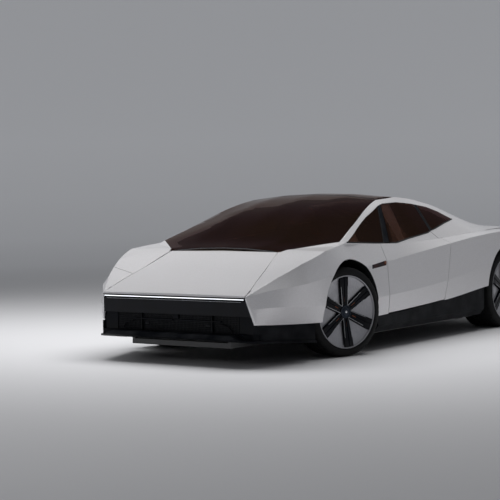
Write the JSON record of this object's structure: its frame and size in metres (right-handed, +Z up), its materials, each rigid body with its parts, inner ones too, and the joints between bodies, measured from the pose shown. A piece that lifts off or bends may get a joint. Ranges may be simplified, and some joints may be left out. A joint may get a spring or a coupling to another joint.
{
  "type": "supercar",
  "caption": "Low mid-engined two-seat sports car with a wedge nose, wraparound tinted glasshouse, hinged doors and lids, and steered front wheels.",
  "frame": {"origin": "on the ground under the middle of the car", "axes": "-Y towards the nose, +X to the car's left, +Z up"},
  "size_m": [2.1518, 4.765, 1.2898],
  "materials": {
    "body_paint": "satin pearl silver paint",
    "gloss_black": "gloss blue-black",
    "bronze_glass": "bronze tinted glass",
    "light_lens": "clear lamp lens",
    "tail_lens": "red lamp lens",
    "copper": "copper anodised",
    "carbon_black": "satin black composite",
    "metal": "machined aluminium",
    "dark_metal": "dark cast metal",
    "tyre": "black rubber",
    "rim": "gloss black and satin silver",
    "leather": "dark leather",
    "trim": "soft dark trim"
  },
  "bodies": {
    "body": {"floor_pan": "carbon_black", "power_unit": "dark_metal", "front_subframe": "metal", "rear_subframe": "metal", "bumper": "gloss_black", "light_bar": "light_lens", "intake_grille": "gloss_black", "tail_grille": "gloss_black", "splitter": "gloss_black", "wing_left": "body_paint", "wing_right": "body_paint", "windscreen": "bronze_glass", "roof_glass": "bronze_glass", "roof_frame_left": "body_paint", "roof_frame_right": "body_paint", "quarter_panel_left": "body_paint", "quarter_panel_right": "body_paint", "window_pillars": "gloss_black", "quarter_glass": "bronze_glass", "sills": "gloss_black", "tail_panel": "body_paint", "tail_light": "tail_lens", "diffuser": "carbon_black", "side_markers": "copper", "dashboard": "trim", "seats": "leather", "steering_wheel": "trim"},
    "bonnet": {"bonnet": "body_paint"},
    "tail_lid": {"tail_lid": "body_paint", "tail_window": "bronze_glass"},
    "door_left": {"door_left": "body_paint", "door_glass_left": "bronze_glass"},
    "door_right": {"door_right": "body_paint", "door_glass_right": "bronze_glass"},
    "knuckle_left": {"knuckle_left": "dark_metal"},
    "knuckle_right": {"knuckle_right": "dark_metal"},
    "wheel_front_left": {"tyre_front_left": "tyre", "rim_front_left": "rim"},
    "wheel_front_right": {"tyre_front_right": "tyre", "rim_front_right": "rim"},
    "wheel_rear_left": {"tyre_rear_left": "tyre", "rim_rear_left": "rim"},
    "wheel_rear_right": {"tyre_rear_right": "tyre", "rim_rear_right": "rim"}
  },
  "joints": [
    {"name": "bonnet_hinge", "type": "hinge", "parent": "body", "child": "bonnet", "pos_m": [0, -1.6215, 0.86], "axis": [-1, 0, 0], "range_deg": [0, 58]},
    {"name": "tail_lid_hinge", "type": "hinge", "parent": "body", "child": "tail_lid", "pos_m": [0, 0.6905, 1.229], "axis": [1, 0, 0], "range_deg": [0, 45]},
    {"name": "door_left_hinge", "type": "hinge", "parent": "body", "child": "door_left", "pos_m": [1.008, -0.6775, 0.55], "axis": [0, 0, -1], "range_deg": [0, 62]},
    {"name": "door_right_hinge", "type": "hinge", "parent": "body", "child": "door_right", "pos_m": [-1.008, -0.6775, 0.55], "axis": [0, 0, 1], "range_deg": [0, 62]},
    {"name": "steer_left", "type": "hinge", "parent": "body", "child": "knuckle_left", "pos_m": [0.85, -1.2675, 0.358], "axis": [0, 0, 1], "range_deg": [-17.4, 52.6]},
    {"name": "steer_right", "type": "hinge", "parent": "body", "child": "knuckle_right", "pos_m": [-0.85, -1.2675, 0.358], "axis": [0, 0, 1], "range_deg": [-17.4, 52.6]},
    {"name": "spin_front_left", "type": "hinge", "parent": "knuckle_left", "child": "wheel_front_left", "pos_m": [0.85, -1.2675, 0.358], "axis": [0.9532, -0.3024, 0], "continuous": true},
    {"name": "spin_front_right", "type": "hinge", "parent": "knuckle_right", "child": "wheel_front_right", "pos_m": [-0.85, -1.2675, 0.358], "axis": [0.9532, -0.3024, 0], "continuous": true},
    {"name": "spin_rear_left", "type": "hinge", "parent": "body", "child": "wheel_rear_left", "pos_m": [0.82, 1.5325, 0.358], "axis": [1, 0, 0], "continuous": true},
    {"name": "spin_rear_right", "type": "hinge", "parent": "body", "child": "wheel_rear_right", "pos_m": [-0.82, 1.5325, 0.358], "axis": [1, 0, 0], "continuous": true}
  ],
  "couplings": [
    {"joint": "steer_right", "follows": "steer_left", "ratio": 1}
  ]
}
